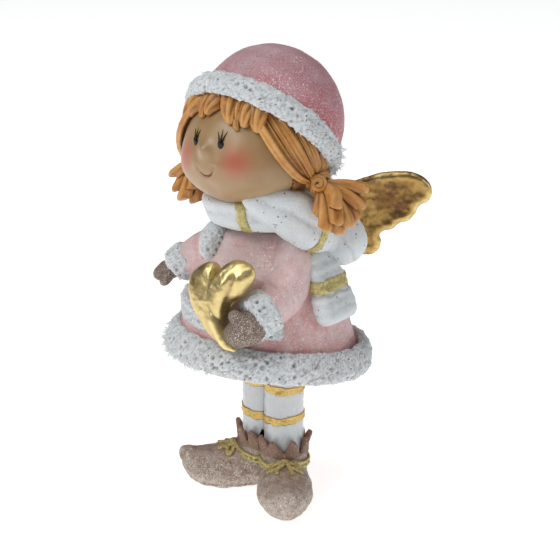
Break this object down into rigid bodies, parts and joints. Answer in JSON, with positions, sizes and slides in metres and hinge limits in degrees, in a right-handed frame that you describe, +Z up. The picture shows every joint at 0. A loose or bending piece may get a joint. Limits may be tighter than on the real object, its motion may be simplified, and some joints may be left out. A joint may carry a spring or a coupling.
{
  "type": "angel figurine",
  "caption": "Standing winter angel figurine in a fur-trimmed coat and hat, holding a heart, with a scarf, pigtails and short folded wings.",
  "frame": {"origin": "under the middle of the figure's bounding box, on the plane of the soles", "axes": "+Z up; the figure looks along -Y; its left hand is on the +X side"},
  "size_m": [0.0648, 0.0662, 0.1302],
  "materials": {
    "rose_glitter": "pale rose paint over cast resin with fine clear glitter",
    "dusty_rose_glitter": "deeper dusty rose paint with fine clear glitter",
    "snow_fur": "lumpy snow-white texture paste with grey wash and mica",
    "scarf_white": "matte white paint with a little glitter",
    "gold_leaf": "antique gold leaf over brown lacquer, glossy",
    "gold_glitter": "gold glitter glue",
    "skin": "pearly peach paint with a brown wash, satin",
    "ink": "glossy black paint",
    "lip_red": "painted line",
    "hair_ginger": "caramel paint with a dark wash in the grooves, satin",
    "taupe_glitter": "taupe paint with silver glitter",
    "copper_leaf": "copper-brown paint, satin",
    "stocking_white": "glossy white paint",
    "steel": "plain drawn wire"
  },
  "bodies": {
    "root": {"coat": "rose_glitter", "hem_fur": "snow_fur", "front_fur": "snow_fur", "collar_tab": "snow_fur", "left_sleeve": "rose_glitter", "right_sleeve": "rose_glitter", "left_cuff": "snow_fur", "right_cuff": "snow_fur", "left_mitten": "taupe_glitter", "right_mitten": "taupe_glitter", "heart": "gold_leaf", "scarf_neck": "scarf_white", "scarf_shoulder": "scarf_white", "scarf_fold": "scarf_white", "scarf_tail": "scarf_white", "scarf_stripes": "gold_glitter", "head": "skin", "nose": "skin", "left_eye": "ink", "right_eye": "ink", "lashes": "ink", "smile": "lip_red", "hair_cap": "hair_ginger", "fringe": "hair_ginger", "left_side_hair": "hair_ginger", "right_side_hair": "hair_ginger", "left_bobble": "hair_ginger", "right_bobble": "hair_ginger", "left_pigtail": "hair_ginger", "right_pigtail": "hair_ginger", "hat_crown": "dusty_rose_glitter", "hat_brim": "snow_fur", "left_wing": "gold_leaf", "right_wing": "gold_leaf", "left_leg": "stocking_white", "right_leg": "stocking_white", "left_stripes": "gold_leaf", "right_stripes": "gold_leaf", "left_shoe": "taupe_glitter", "right_shoe": "taupe_glitter", "left_shoe_collar": "copper_leaf", "right_shoe_collar": "copper_leaf", "left_lace": "gold_glitter", "right_lace": "gold_glitter", "left_leg_pin": "steel", "right_leg_pin": "steel", "neck_pin": "steel"}
  },
  "joints": []
}
